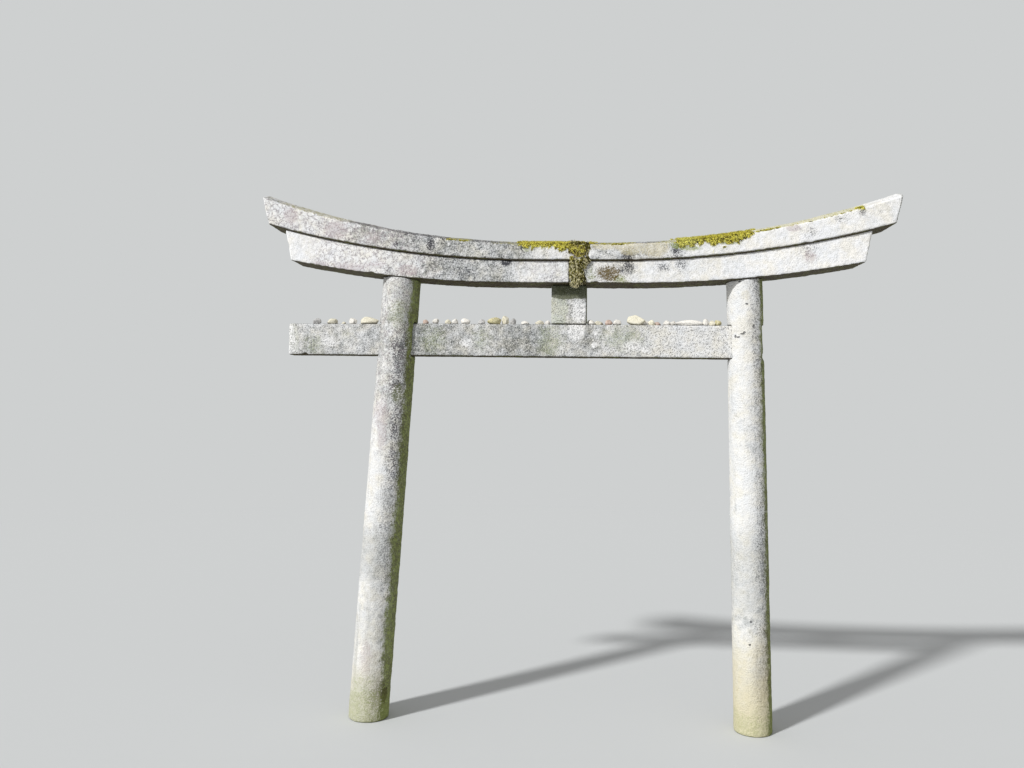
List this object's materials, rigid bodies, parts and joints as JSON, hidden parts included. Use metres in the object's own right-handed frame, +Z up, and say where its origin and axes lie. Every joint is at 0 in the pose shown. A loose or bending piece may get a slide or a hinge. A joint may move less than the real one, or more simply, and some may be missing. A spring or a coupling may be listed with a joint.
{
  "type": "stone torii gate",
  "caption": "Small weathered stone torii gate: round leaning columns, a tie beam with one surviving nose, a strut and upswept jointed double lintels.",
  "frame": {"origin": "middle of the left column's foot face, at ground level, seen from the front", "axes": "+X along the gate towards the right column, +Y from the front to the back, +Z up"},
  "size_m": [3.0302, 0.216, 2.5302],
  "materials": {
    "column_stone": "weathered pale granite, speckled, with grey-green algae on the shaded side",
    "beam_stone": "weathered grey-green granite with pale patches and pits",
    "lintel_stone": "weathered pale granite with lichen, moss along the top and dark damp undersides"
  },
  "bodies": {
    "root": {"left_column": "column_stone", "right_column": "column_stone", "tie_beam": "beam_stone", "tie_beam_nose": "beam_stone", "strut": "beam_stone", "lower_lintel_left": "lintel_stone", "lower_lintel_right": "lintel_stone", "upper_lintel_left": "lintel_stone", "upper_lintel_right": "lintel_stone"}
  },
  "joints": []
}
